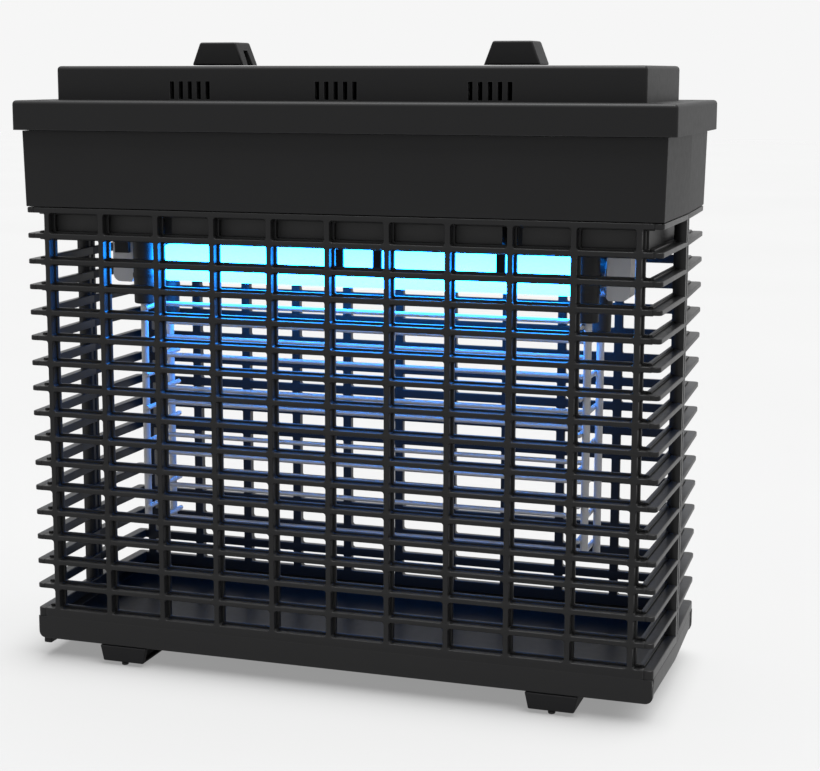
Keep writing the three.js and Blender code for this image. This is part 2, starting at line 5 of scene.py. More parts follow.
import bmesh
import bpy
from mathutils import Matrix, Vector
from mathutils.geometry import tessellate_polygon


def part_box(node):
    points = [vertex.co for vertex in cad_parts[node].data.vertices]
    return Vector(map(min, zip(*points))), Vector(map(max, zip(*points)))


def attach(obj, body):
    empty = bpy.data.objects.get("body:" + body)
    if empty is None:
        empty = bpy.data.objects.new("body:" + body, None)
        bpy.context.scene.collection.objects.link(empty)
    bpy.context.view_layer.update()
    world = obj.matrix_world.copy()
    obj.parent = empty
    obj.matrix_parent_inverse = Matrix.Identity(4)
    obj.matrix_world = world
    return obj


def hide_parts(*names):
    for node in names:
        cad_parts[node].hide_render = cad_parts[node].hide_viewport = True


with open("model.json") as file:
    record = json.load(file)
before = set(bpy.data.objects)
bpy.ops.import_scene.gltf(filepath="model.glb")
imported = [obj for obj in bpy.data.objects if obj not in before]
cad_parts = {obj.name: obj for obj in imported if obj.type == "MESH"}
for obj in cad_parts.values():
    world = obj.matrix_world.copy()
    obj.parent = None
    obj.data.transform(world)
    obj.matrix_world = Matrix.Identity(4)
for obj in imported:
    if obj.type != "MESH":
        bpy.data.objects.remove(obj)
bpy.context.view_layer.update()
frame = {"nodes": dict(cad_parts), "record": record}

MM = 0.001
NODES = frame["nodes"]
CORNERS = ("front_left", "front_right", "rear_left", "rear_right")

# ---- driving dimensions, in millimetres, with the CAD's own ones read from the frame ---------
CAGE_LOW, CAGE_HIGH = [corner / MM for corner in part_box("front_grille")]
RIDGE = 1.2  # how far the cage's ends bulge at the parting plane
CAGE_X = CAGE_HIGH.x - RIDGE
CAGE_Y = -CAGE_LOW.y
PARTING_Y = CAGE_HIGH.y
CORNER_R = 1.7
BLADE = 4.0  # depth of the outer blade of fins and ribs
LIP = 2.0  # depth of the wider lip behind it
LIP_OUT = 0.8  # how far the lip stands out past the blade, on each side
FIN_COUNT = 15
FIN_PITCH = 10.82
FIN_THICK = 2.1
LOWEST_FIN = 32.0
FLANGE = (193.1, CAGE_HIGH.z)
FRAME_BAND = (18.4, 22.2)  # the bar between the skirt and the lowest row of openings
RIB_COUNT = 11
RIB_PITCH = 24.87
RIB_THICK = 2.2
CELL_R = 1.1  # corner rounding of the openings, blade and lip
LIP_CELL_R = 0.5
SKIRT_THICK = 3.2
SKIRT_R = 3.0
RAIL_INNER_Y = 36.0
RAIL_HALF_X = 129.1
RAIL_THICK = 2.0
POST_X = 4.9
POST_HALF_Y = 3.75
EDGE = 0.4  # edge rounding of the cage's mouldings

LID_R = 1.6  # rounding of the lid's outer edges
RIM_TOP = 239.6
RAISED_X, RAISED_Y = 124.0, 38.5
LID_HAIR = 0.01  # how far the lid's rounded envelopes lie inside the CAD's faces
HOUSING_R = 0.6
HOUSING_HAIR = 0.012
HOUSING_EDGE = 0.25

TUBE_SHOULDER = 3.4  # rounding of the lamp tube's ends
PIN_LENGTH = 6.6
PIN_R = 1.15
PIN_OFFSET = 2.375  # from the lamp's axis to a pin's axis

ROD_X, ROD_Y, ROD_R = 98.0, 13.0, 1.6
WIRE_R = 1.05
STUB_OVERHANG = 3.8  # how far a cross stub runs on past its rod
STUB_END = 0.6  # and past the wire it carries
WELD = 0.5  # how far welded wires sink into each other
WIRES_PER_POLE = 7
WIRE_STEP = 14.7
TOP_WIRE = {"front": 150.3, "rear": 142.2}
ROD_BORE = 1.9  # radius of the hole in an insulator that a rod stands in
BORE_DEPTH = 12.0

BROAD_FACE = 300.0  # two faces this large, in square mm, meet in a crisp crease
HARD_ANGLE = math.radians(38)  # a fold sharper than this is shaded as an edge
SHARP_ANGLE = math.radians(28)  # a fold sharper than this gets rounded
FLAT_ANGLE = math.radians(1)  # faces that meet at less than this are one face


# ---- meshes ----------------------------------------------------------------------------------
def finish_mesh(name, bm):
    """Turns a bmesh in millimetres into an object in metres."""
    bmesh.ops.recalc_face_normals(bm, faces=bm.faces)
    bmesh.ops.scale(bm, vec=(MM, MM, MM), verts=bm.verts)
    mesh = bpy.data.meshes.new(name)
    bm.to_mesh(mesh)
    bm.free()
    for polygon in mesh.polygons:
        polygon.use_smooth = True
    obj = bpy.data.objects.new(name, mesh)
    bpy.context.scene.collection.objects.link(obj)
    return obj


def weighted_normals(obj):
    modifier = obj.modifiers.new("flat faces stay flat", "WEIGHTED_NORMAL")
    modifier.mode = "FACE_AREA"
    modifier.weight = 100
    modifier.keep_sharp = True


def arc(cx, cy, r, start, end, steps=5):
    """Points on an arc, angles in degrees."""
    points = []
    for i in range(steps + 1):
        angle = math.radians(start + (end - start) * i / steps)
        points.append((cx + r * math.cos(angle), cy + r * math.sin(angle)))
    return points


def rounded_rect(x0, x1, y0, y1, r, steps=5):
    return (arc(x0 + r, y0 + r, r, 180, 270, steps) + arc(x1 - r, y0 + r, r, 270, 360, steps)
            + arc(x1 - r, y1 - r, r, 0, 90, steps) + arc(x0 + r, y1 - r, r, 90, 180, steps))


def area(loop):
    return sum(a[0] * b[1] - b[0] * a[1] for a, b in zip(loop, loop[1:] + loop[:1])) / 2


def inset(loop, distance, joints=()):
    """The loop moved to its left by distance, except its joint edges, given by first point."""
    lines = []
    for i, a in enumerate(loop):
        b = loop[(i + 1) % len(loop)]
        a, b = Vector(a), Vector(b)
        along = (b - a).normalized()
        move = Vector((-along.y, along.x)) * (0 if i in joints else distance)
        lines.append((a + move, b + move, along))
    moved = []
    for i in range(len(loop)):
        before, after = lines[i - 1], lines[i]
        cross = before[2].cross(after[2])
        if abs(cross) < 0.1:
            moved.append((before[1] + after[0]) / 2)
            continue
        t = (after[0] - before[0]).cross(after[2]) / cross
        moved.append(before[0] + before[2] * t)
    return [(p.x, p.y) for p in moved]


def add_plate(bm, outline, holes, low, high, edge, place, joints=(), segments=2, foot_edge=None):
    """Adds a flat plate between two heights, its edges rounded, its loops run through place.

    The outline's joints are edges that run on into the rest of the moulding. They are given by
    the number of their first point, and aren't rounded. The foot edge is the rounding at low.
    """
    foot_edge = edge if foot_edge is None else foot_edge
    if area(outline) < 0:
        outline = outline[::-1]
    loops = [outline] + [hole if area(hole) < 0 else hole[::-1] for hole in holes]
    turns = [math.pi / 2 * i / segments for i in range(segments + 1)]
    rings = [(foot_edge * (1 - math.sin(turn)), low + foot_edge * (1 - math.cos(turn)))
             for turn in turns]
    rings += [(edge * (1 - math.sin(turn)), high - edge * (1 - math.cos(turn)))
              for turn in reversed(turns)]
    layers = []
    for distance, height in rings:
        layer = []
        for n, loop in enumerate(loops):
            moved = inset(loop, distance, joints if n == 0 else ())
            layer.append([bm.verts.new(place(x, y, height)) for x, y in moved])
        layers.append(layer)
    for lower, upper in zip(layers, layers[1:]):
        for a, b in zip(lower, upper):
            for i in range(len(a)):
                j = (i + 1) % len(a)
                bm.faces.new((a[i], a[j], b[j], b[i]))
    for layer, (distance, _) in ((layers[0], rings[0]), (layers[-1], rings[-1])):
        flat = []
        for n, loop in enumerate(loops):
            moved = inset(loop, distance, joints if n == 0 else ())
            flat.append([Vector((x, y, 0)) for x, y in moved])
        verts = [v for ring in layer for v in ring]
        for triangle in tessellate_polygon(flat):
            bm.faces.new([verts[k] for k in triangle])


def add_block(bm, x, y, z, edge, place):
    add_plate(bm, [(x[0], y[0]), (x[1], y[0]), (x[1], y[1]), (x[0], y[1])], [], z[0], z[1], edge,
              place)


def add_turned(bm, profile, place, sides=32):
    """Adds a body turned about an axis: profile holds (radius, height), on the axis at its ends."""
    rings = []
    for radius, height in profile:
        if radius < 1e-6:
            rings.append([bm.verts.new(place(0, 0, height))])
            continue
        ring = []
        for i in range(sides):
            angle = 2 * math.pi * i / sides
            ring.append(bm.verts.new(place(radius * math.cos(angle), radius * math.sin(angle),
                                           height)))
        rings.append(ring)
    for lower, upper in zip(rings, rings[1:]):
        for i in range(sides):
            j = (i + 1) % sides
            corners = [lower[i % len(lower)], lower[j % len(lower)],
                       upper[j % len(upper)], upper[i % len(upper)]]
            face = list(dict.fromkeys(corners))
            if len(face) > 2:
                bm.faces.new(face)


def add_rod(bm, start, end, radius, sides=16):
    """Adds a round rod with domed ends between two points."""
    start, end = Vector(start), Vector(end)
    edge = radius * 0.6
    length = (end - start).length
    turn = (end - start).to_track_quat("Z", "Y")
    cap = []
    for i in range(5):
        turned = math.pi / 8 * i
        cap.append((radius - edge + edge * math.sin(turned), edge - edge * math.cos(turned)))
    profile = [(0, 0)] + cap + [(r, length - h) for r, h in reversed(cap)] + [(0, length)]
    add_turned(bm, profile, lambda x, y, z: start + turn @ Vector((x, y, z)), sides)


def cad_copy(node):
    """A CAD node's solid, in millimetres, its flat faces made whole."""
    bm = bmesh.new()
    bm.from_mesh(NODES[node].data)
    bmesh.ops.remove_doubles(bm, verts=bm.verts, dist=1e-6)
    bmesh.ops.dissolve_limit(bm, angle_limit=FLAT_ANGLE, verts=bm.verts, edges=bm.edges)
    bmesh.ops.scale(bm, vec=(1 / MM,) * 3, verts=bm.verts)
    return bm


def mark_creases(bm, unit=1.0):
    """Keeps hard corners, and the shallow crease between two broad faces, crisp."""
    for edge in bm.edges:
        angle = edge.calc_face_angle(0)
        broad = min(face.calc_area() for face in edge.link_faces) > BROAD_FACE * unit ** 2
        edge.smooth = angle < HARD_ANGLE and not (broad and angle > FLAT_ANGLE)


def softened(node, width, shortest):
    """A copy of a CAD node whose sharp edges are rounded, where they are long enough, in mm."""
    bm = cad_copy(node)
    sharp = [edge for edge in bm.edges
             if edge.calc_face_angle() > SHARP_ANGLE and edge.calc_length() > shortest]
    bmesh.ops.bevel(bm, geom=sharp, offset=width, offset_type="OFFSET", segments=3,
                    profile=0.5, affect="EDGES", clamp_overlap=True)
    mark_creases(bm)
    obj = finish_mesh(f"{node}_shell", bm)
    weighted_normals(obj)
    return obj


def trimmed(node, *envelopes):
    """A copy of a CAD node cut down to rounded envelopes that lie just inside its surface."""
    obj = finish_mesh(f"{node}_shell", cad_copy(node))
    hulls = [finish_mesh(f"{node}_envelope_{i}", bm) for i, bm in enumerate(envelopes)]
    for target, tool, operation in ([(hulls[0], other, "UNION") for other in hulls[1:]]
                                    + [(obj, hulls[0], "INTERSECT")]):
        modifier = target.modifiers.new(operation, "BOOLEAN")
        modifier.operation = operation
        modifier.solver = "EXACT"
        modifier.object = tool
    depsgraph = bpy.context.evaluated_depsgraph_get()
    mesh = bpy.data.meshes.new_from_object(obj.evaluated_get(depsgraph))
    obj.modifiers.clear()
    obj.data = mesh
    for hull in hulls:
        bpy.data.objects.remove(hull)
    bm = bmesh.new()
    bm.from_mesh(mesh)
    bmesh.ops.remove_doubles(bm, verts=bm.verts, dist=1e-7)
    mark_creases(bm, MM)
    for face in bm.faces:
        face.smooth = True
    bm.to_mesh(mesh)
    bm.free()
    weighted_normals(obj)
    return obj


# ---- materials -------------------------------------------------------------------------------
FINISHES = {}
LAMP_GLOW_LOW = (0.0088, 0.24, 1.0)
LAMP_GLOW_HIGH = (0.0092, 0.27, 1.0)
LAMP_STRENGTH = 50


def new_material(name):
    material = bpy.data.materials.new(f"{name}_finish")
    material.use_nodes = True
    FINISHES[name] = material
    nodes = material.node_tree.nodes
    return nodes, material.node_tree.links, nodes["Principled BSDF"]


def noise(nodes, links, scale, detail=3.0, stretch=None):
    """A noise field over the object's own coordinates, scale in features a metre."""
    place = nodes.new("ShaderNodeTexCoord")
    field = nodes.new("ShaderNodeTexNoise")
    field.inputs["Scale"].default_value = scale
    field.inputs["Detail"].default_value = detail
    if stretch is None:
        links.new(place.outputs["Object"], field.inputs["Vector"])
    else:
        mapping = nodes.new("ShaderNodeMapping")
        mapping.inputs["Scale"].default_value = stretch
        links.new(place.outputs["Object"], mapping.inputs["Vector"])
        links.new(mapping.outputs["Vector"], field.inputs["Vector"])
    return field.outputs["Fac"]


def spread(nodes, links, value, low, high):
    """Maps a noise field's middle range to low..high."""
    ramp = nodes.new("ShaderNodeMapRange")
    ramp.inputs["From Min"].default_value = 0.3
    ramp.inputs["From Max"].default_value = 0.7
    ramp.inputs["To Min"].default_value = low
    ramp.inputs["To Max"].default_value = high
    links.new(value, ramp.inputs["Value"])
    return ramp.outputs["Result"]


def mixed(nodes, links, factor, a, b):
    mix = nodes.new("ShaderNodeMix")
    mix.data_type = "RGBA"
    links.new(factor, mix.inputs["Factor"])
    for value, socket in ((a, mix.inputs[6]), (b, mix.inputs[7])):
        if isinstance(value, tuple):
            socket.default_value = (*value, 1)
        else:
            links.new(value, socket)
    return mix.outputs[2]


def painted_edge_mask(nodes, links, radius, sharpness):
    """Mask for the painted edge highlight: near 1 along convex and concave edges, 0 on flat faces,
    broken up by noise.
    """
    bevel = nodes.new("ShaderNodeBevel")
    bevel.samples = 4
    bevel.inputs["Radius"].default_value = radius * MM
    geometry = nodes.new("ShaderNodeNewGeometry")
    dot = nodes.new("ShaderNodeVectorMath")
    dot.operation = "DOT_PRODUCT"
    links.new(bevel.outputs["Normal"], dot.inputs[0])
    links.new(geometry.outputs["Normal"], dot.inputs[1])
    fall = nodes.new("ShaderNodeMapRange")
    fall.inputs["From Min"].default_value = 1.0
    fall.inputs["From Max"].default_value = 1.0 - sharpness
    links.new(dot.outputs["Value"], fall.inputs["Value"])
    broken = nodes.new("ShaderNodeMath")
    broken.operation = "MULTIPLY"
    links.new(fall.outputs["Result"], broken.inputs[0])
    links.new(spread(nodes, links, noise(nodes, links, 260), 0.35, 1.0), broken.inputs[1])
    return broken.outputs["Value"]


def bumped(nodes, links, height, strength, distance, target):
    bump = nodes.new("ShaderNodeBump")
    bump.inputs["Strength"].default_value = strength
    bump.inputs["Distance"].default_value = distance * MM
    links.new(height, bump.inputs["Height"])
    links.new(bump.outputs["Normal"], target)


def moulded(name, color, roughness, grain=1500, bump=0.25, specular=0.4, painted_edge_tone=None):
    """Moulded plastic: spark-eroded grain, slight mottling, and an edge tone painted along edges
    and creases, mostly a painted highlight that makes them a little lighter.
    """
    nodes, links, shader = new_material(name)
    mottle_and_painted_edge = mixed(nodes, links, noise(nodes, links, 28),
                    tuple(c * 0.94 for c in color), tuple(c * 1.06 for c in color))
    # painted highlight: the edge tone is mixed in along edges and creases, in place of light caught
    # by rounded edges
    if painted_edge_tone:
        mottle_and_painted_edge = mixed(nodes, links, painted_edge_mask(nodes, links, 0.5, 0.5), mottle_and_painted_edge, painted_edge_tone)
    links.new(mottle_and_painted_edge, shader.inputs["Base Color"])
    links.new(spread(nodes, links, noise(nodes, links, 340), roughness - 0.02, roughness + 0.02),
              shader.inputs["Roughness"])
    bumped(nodes, links, noise(nodes, links, grain, 2.0), bump, 0.05, shader.inputs["Normal"])
    shader.inputs["Specular IOR Level"].default_value = specular


def metal(name, color, roughness, stretch=(1, 1, 1), metallic=1.0):
    """Drawn or plated metal: fine lines along the draw, faint tarnish, varied polish."""
    nodes, links, shader = new_material(name)
    tarnish = mixed(nodes, links, noise(nodes, links, 120),
                    tuple(c * 0.82 for c in color), color)
    links.new(tarnish, shader.inputs["Base Color"])
    lines = noise(nodes, links, 900, 2.0, stretch)
    links.new(spread(nodes, links, lines, roughness - 0.08, roughness + 0.1),
              shader.inputs["Roughness"])
    bumped(nodes, links, lines, 0.2, 0.03, shader.inputs["Normal"])
    shader.inputs["Metallic"].default_value = metallic


def lit_lamp(name):
    """The glowing tube: phosphor seen through glass, a little dimmer where the coat is thin."""
    nodes, links, shader = new_material(name)
    glow = mixed(nodes, links, noise(nodes, links, 60), LAMP_GLOW_LOW, LAMP_GLOW_HIGH)
    links.new(glow, shader.inputs["Emission Color"])
    shader.inputs["Emission Strength"].default_value = LAMP_STRENGTH
    coat = mixed(nodes, links, noise(nodes, links, 220), (0.5, 0.75, 0.8), (0.62, 0.9, 0.95))
    links.new(coat, shader.inputs["Base Color"])
    links.new(spread(nodes, links, noise(nodes, links, 400), 0.1, 0.2), shader.inputs["Roughness"])
    bumped(nodes, links, noise(nodes, links, 700), 0.05, 0.02, shader.inputs["Normal"])


BLACK = (0.0115, 0.0115, 0.0118)
# edge tone for the dark mouldings: a painted highlight, lighter than the plastic
EDGE_HIGHLIGHT = (0.05, 0.05, 0.052)
# The last colour given to a finish below is its edge tone, painted along its edges and creases; the
# lighter ones are painted highlight.
moulded("black_plastic", BLACK, 0.48, specular=0.1, painted_edge_tone=EDGE_HIGHLIGHT)
moulded("grille_plastic", BLACK, 0.35, specular=0.14, painted_edge_tone=EDGE_HIGHLIGHT)
# A lighter copy of the black plastic for the lamp carrier: painted light that lifts its recessed
# panels out of their shade.
moulded("carrier_painted_light_plastic", (0.021, 0.021, 0.0212), 0.45, specular=0.2, painted_edge_tone=EDGE_HIGHLIGHT)
moulded("tray_plastic", (0.008, 0.008, 0.0085), 0.36, 800, 0.08, 0.14, EDGE_HIGHLIGHT)
moulded("foot_plastic", (0.009, 0.009, 0.0095), 0.62, 700, 0.5, 0.1, EDGE_HIGHLIGHT)
moulded("insulator_plastic", (0.009, 0.009, 0.0095), 0.5, painted_edge_tone=EDGE_HIGHLIGHT)
# The holder's edge tone is darker than its grey, so its edges and creases come out a little darker.
moulded("holder_plastic", (0.6, 0.6, 0.61), 0.5, painted_edge_tone=(0.55, 0.55, 0.56))
moulded("rocker_plastic", (0.01, 0.01, 0.0105), 0.22, 900, 0.06, 0.5, EDGE_HIGHLIGHT)
moulded("capacitor_sleeve", (0.02, 0.03, 0.07), 0.3, 500, 0.1, 0.5)
moulded("nub_rubber", (0.012, 0.012, 0.012), 0.8, 900, 0.6, 0.25, (0.03, 0.03, 0.03))
moulded("gland_rubber", (0.012, 0.012, 0.012), 0.75, 900, 0.5, 0.25, (0.03, 0.03, 0.03))
moulded("board", (0.012, 0.09, 0.035), 0.4, 600, 0.2, 0.5)
moulded("core", (0.045, 0.045, 0.05), 0.5, 350, 0.6, 0.5)
moulded("film_capacitor", (0.55, 0.33, 0.05), 0.35, 300, 0.15, 0.5)
metal("electrode_steel", (0.6, 0.6, 0.62), 0.42, metallic=0.25)
metal("cap_aluminium", (0.75, 0.76, 0.78), 0.32, (8, 1, 1))
metal("screw_steel", (0.2, 0.2, 0.21), 0.4)
lit_lamp("lamp_glass")
NODE_SLOT = {row["node"]: row["material_slot"] for row in frame["record"]["subparts"]}


def stand_for(piece, node, body="housing", finish=None):
    """Puts a new piece in a CAD node's place, with its slot's finish or a variant of that."""
    piece.data.materials.clear()
    piece.data.materials.append(FINISHES[finish or NODE_SLOT[node]])
    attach(piece, body)
    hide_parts(node)


# ---- cage ------------------------------------------------------------------------------------
def fin_levels():
    """Low and high side of every horizontal bar of the cage: band, fins, flange."""
    middles = [LOWEST_FIN + i * FIN_PITCH for i in range(FIN_COUNT)]
    fins = [(middle - FIN_THICK / 2, middle + FIN_THICK / 2) for middle in middles]
    return [FRAME_BAND, *fins, FLANGE]


def rib_places():
    return [(i - (RIB_COUNT - 1) / 2) * RIB_PITCH for i in range(RIB_COUNT)]


def side_notches(edge_x, fin_end_x, grow, r):
    """The right side of the front plate's outline, going up: fin ends with notches between."""
    points = []
    joints = []
    levels = fin_levels()
    for i, (low, high) in enumerate(levels):
        low = low - (grow if i > 0 else 0)
        high = high + (grow if i < len(levels) - 1 else 0)
        if i > 0:
            points += [(edge_x + r - x, z) for x, z in arc(0, low - r, r, 0, 90, 4)]
        joints.append(len(points))
        points += [(fin_end_x, low), (fin_end_x, high)]
        if i < len(levels) - 1:
            points += [(edge_x + r - x, z) for x, z in arc(0, high + r, r, 270, 360, 4)]
    return points, joints


def front_plate(bm, y_front, y_back, grow, r, fin_end_x, place):
    """One layer of the cage's front: ribs and fins round rows of openings."""
    half_rib = RIB_THICK / 2 + grow
    ribs = rib_places()
    right, right_joints = side_notches(ribs[-1] + half_rib, fin_end_x, grow, r)
    left = [(-x, z) for x, z in reversed(right)]
    outline = right + left
    count = len(right)
    left_joints = [2 * count - 2 - j for j in right_joints]
    joints = right_joints + left_joints + [2 * count - 1]
    holes = []
    levels = fin_levels()
    for (_, low), (high, _) in zip(levels, levels[1:]):
        for a, b in zip(ribs, ribs[1:]):
            holes.append(rounded_rect(a + half_rib, b - half_rib, low + grow, high - grow, r, 4))
    add_plate(bm, outline, holes, y_front, y_back, EDGE, place, joints)


def side_bar(bm, sx, low, high, near, far, rounded, place):
    """The part of one horizontal bar that goes round a corner and back to the parting plane."""
    if rounded:
        corner = arc(CAGE_X - CORNER_R, -CAGE_Y + CORNER_R, CORNER_R, 270, 360, 5)
        outer = [(CAGE_X - far, -CAGE_Y), *corner]
    else:
        outer = [(CAGE_X - far, -CAGE_Y + near), (CAGE_X - near, -CAGE_Y + near)]
    points = outer + [(CAGE_X + RIDGE - near, PARTING_Y), (CAGE_X + RIDGE - far, PARTING_Y),
                      (CAGE_X - far, -CAGE_Y + far)]
    if sx < 0:
        points = [(-x, y) for x, y in reversed(points)]
    add_plate(bm, points, [], low, high, EDGE, place, (len(points) - 1,))


def add_cage_half(bm, place):
    """One moulded half of the cage, as seen from the front, its points run through place."""
    def upright(x, z, depth):
        return place(x, -CAGE_Y + depth, z)

    front_plate(bm, 0, BLADE, 0, CELL_R, CAGE_X - BLADE, upright)
    front_plate(bm, BLADE, BLADE + LIP, LIP_OUT, LIP_CELL_R, CAGE_X - BLADE - LIP, upright)
    levels = fin_levels()
    for i, (low, high) in enumerate(levels):
        lip_low = low - (LIP_OUT if i > 0 else 0)
        lip_high = high + (LIP_OUT if i < len(levels) - 1 else 0)
        for sx in (-1, 1):
            side_bar(bm, sx, low, high, 0, BLADE, True, place)
            side_bar(bm, sx, lip_low, lip_high, BLADE, BLADE + LIP, False, place)

    add_skirt(bm, place)
    outer_x = CAGE_X + RIDGE
    for sx in (-1, 1):
        xs = sorted((sx * (outer_x - POST_X), sx * (outer_x - 0.1)))
        add_block(bm, xs, (-POST_HALF_Y, PARTING_Y), (FRAME_BAND[0] + 0.5, FLANGE[1] - 0.3), EDGE,
                  place)


def add_skirt(bm, place):
    """The wall below the openings, its lower corners rounded, with the tray's rail behind it."""
    low = CAGE_LOW.z
    top = FRAME_BAND[0]
    points = (arc(-CAGE_X + SKIRT_R, low + SKIRT_R, SKIRT_R, 180, 270, 6)
              + arc(CAGE_X - SKIRT_R, low + SKIRT_R, SKIRT_R, 270, 360, 6)
              + [(CAGE_X, top), (-CAGE_X, top)])
    add_plate(bm, points, [], 0, SKIRT_THICK, EDGE,
              lambda x, z, depth: place(x, -CAGE_Y + depth, z), (len(points) - 2,))
    add_block(bm, (-RAIL_HALF_X, RAIL_HALF_X), (-CAGE_Y + SKIRT_THICK - 0.5, -RAIL_INNER_Y),
              (low, low + RAIL_THICK), EDGE, place)


def build_cage():
    for name, turn in (("front", 1), ("rear", -1)):
        bm = bmesh.new()
        add_cage_half(bm, lambda x, y, z, t=turn: (t * x, t * y, z))
        half = finish_mesh(f"{name}_grille_moulding", bm)
        weighted_normals(half)
        stand_for(half, f"{name}_grille", finish="grille_plastic")


# ---- lamp and high-voltage grid --------------------------------------------------------------
def build_lamp():
    low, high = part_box("uv_lamp_tube")
    centre = (low + high) / 2 / MM
    radius = (high.z - low.z) / 2 / MM
    half = (high.x - low.x) / 2 / MM
    end = []
    for i in range(9):
        turned = math.pi / 16 * i
        end.append((radius - TUBE_SHOULDER + TUBE_SHOULDER * math.sin(turned),
                    -half + TUBE_SHOULDER - TUBE_SHOULDER * math.cos(turned)))
    profile = [(0, -half)] + end + [(r, -h) for r, h in reversed(end)] + [(0, half)]
    bm = bmesh.new()
    add_turned(bm, profile, lambda x, y, z: (z, centre.y + x, centre.z + y), 48)
    tube = finish_mesh("uv_lamp_glass", bm)
    stand_for(tube, "uv_lamp_tube", "lamp")
    for side, s in (("left", -1), ("right", 1)):
        build_lamp_cap(side, s, centre)


def build_lamp_cap(side, s, centre):
    """The pressed cap with its rolled rims and its two pins."""
    low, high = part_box(f"lamp_cap_{side}")
    inner, outer = sorted((abs(low.x) / MM, abs(high.x) / MM))
    radius = (high.z - low.z) / 2 / MM
    face = outer - PIN_LENGTH
    profile = [(0, inner), (radius - 0.4, inner), (radius, inner + 0.4), (radius, inner + 1.2),
               (radius - 0.25, inner + 1.6), (radius - 0.25, face - 1.8), (radius, face - 1.4),
               (radius, face - 0.6), (radius - 0.6, face), (radius - 2.4, face),
               (radius - 2.8, face - 0.5), (0, face - 0.5)]
    bm = bmesh.new()
    add_turned(bm, profile, lambda x, y, z: (s * z, centre.y + x, centre.z + y), 48)
    for k in (-1, 1):
        z = centre.z + k * PIN_OFFSET
        add_rod(bm, (s * (face - 1), centre.y, z), (s * outer, centre.y, z), PIN_R)
    cap = finish_mesh(f"lamp_end_cap_{side}", bm)
    weighted_normals(cap)
    stand_for(cap, f"lamp_cap_{side}", "lamp")


def build_electrode(name, sy):
    """One pole: two rods in their insulators, cross stubs, and the wires between them."""
    node = f"electrode_grid_{name}"
    low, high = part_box(node)
    bottom, top = low.z / MM, high.z / MM
    stub_x = ROD_X - ROD_R - WIRE_R + WELD
    bm = bmesh.new()
    for sx in (-1, 1):
        add_rod(bm, (sx * ROD_X, sy * ROD_Y, bottom), (sx * ROD_X, sy * ROD_Y, top), ROD_R, 24)
    for i in range(WIRES_PER_POLE):
        z = TOP_WIRE[name] - i * WIRE_STEP
        add_rod(bm, (-stub_x - WELD, 0, z), (stub_x + WELD, 0, z), WIRE_R)
        for sx in (-1, 1):
            add_rod(bm, (sx * stub_x, sy * (ROD_Y + STUB_OVERHANG), z),
                    (sx * stub_x, -sy * STUB_END, z), WIRE_R)
    grid = finish_mesh(f"{node}_wires", bm)
    stand_for(grid, node)


def build_insulator(corner):
    """The sleeve that holds a rod's upper end in its bore, with a collar round it."""
    node = f"insulator_{corner}"
    low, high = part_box(node)
    x, y = (low.x + high.x) / 2 / MM, (low.y + high.y) / 2 / MM
    bottom, top = low.z / MM, high.z / MM
    length = top - bottom
    bore = [(0, BORE_DEPTH), (ROD_BORE, BORE_DEPTH), (ROD_BORE, 0.4)]
    outside = [(ROD_BORE + 0.4, 0), (3.7, 0), (4.1, 0.3), (4.2, 0.9), (4.35, 11), (4.7, 11.6),
               (4.7, 13), (4.4, 13.6), (4.55, length), (0, length)]
    bm = bmesh.new()
    add_turned(bm, bore + outside, lambda a, b, c: (x + a, y + b, bottom + c), 40)
    sleeve = finish_mesh(f"{node}_sleeve", bm)
    weighted_normals(sleeve)
    stand_for(sleeve, node)


# ---- shells ----------------------------------------------------------------------------------
SOFTENED = {  # edge rounding, and the shortest edge that gets it, in millimetres
    "hanger_lug_left": (0.8, 6.5), "hanger_lug_right": (0.8, 6.5), "lamp_carrier": (0.3, 6),
    "lamp_guard_1": (0.3, 2), "lamp_guard_2": (0.3, 2), "lamp_guard_3": (0.3, 2),
    "lamp_holder_left": (0.5, 3), "lamp_holder_right": (0.5, 3), "catch_tray": (0.5, 3),
    "switch_bezel": (0.5, 5), "power_rocker": (0.5, 5), "cable_inlet_gland": (0.3, 0.5),
    "terminal_block": (0.3, 2), "circuit_board": (0.1, 1), "high_voltage_transformer": (0.4, 2),
    "lamp_ballast": (0.5, 2), "smoothing_capacitor": (0.3, 0.5),
    "voltage_multiplier_capacitor_1": (0.6, 2), "voltage_multiplier_capacitor_2": (0.6, 2),
    "voltage_multiplier_capacitor_3": (0.6, 2),
}
SOFTENED_AT_CORNERS = {"foot": (0.5, 3), "foot_nub": (0.2, 0.2), "cover_screw": (0.12, 0.2)}
NODE_BODY = {node: body for body, members in frame["record"]["behaviour"]["bodies"].items()
             for node in members}


def build_lid():
    """The lid, its outer edges rounded by trimming the CAD solid to two rounded blocks."""
    low, high = [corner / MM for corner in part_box("top_cover")]
    # The rim's block starts below the lid, so that it leaves the underside uncut.
    blocks = (((low.x, high.x, low.y, high.y), (low.z - 1, RIM_TOP)),
              ((-RAISED_X, RAISED_X, -RAISED_Y, RAISED_Y), (low.z + 2, high.z)))
    envelopes = []
    for (x0, x1, y0, y1), (bottom, top) in blocks:
        bm = bmesh.new()
        outline = rounded_rect(x0 + LID_HAIR, x1 - LID_HAIR, y0 + LID_HAIR, y1 - LID_HAIR, LID_R)
        add_plate(bm, outline, [], bottom, top - LID_HAIR, LID_R, lambda x, y, z: (x, y, z),
                  segments=5, foot_edge=0.1)
        envelopes.append(bm)
    stand_for(trimmed("top_cover", *envelopes), "top_cover")


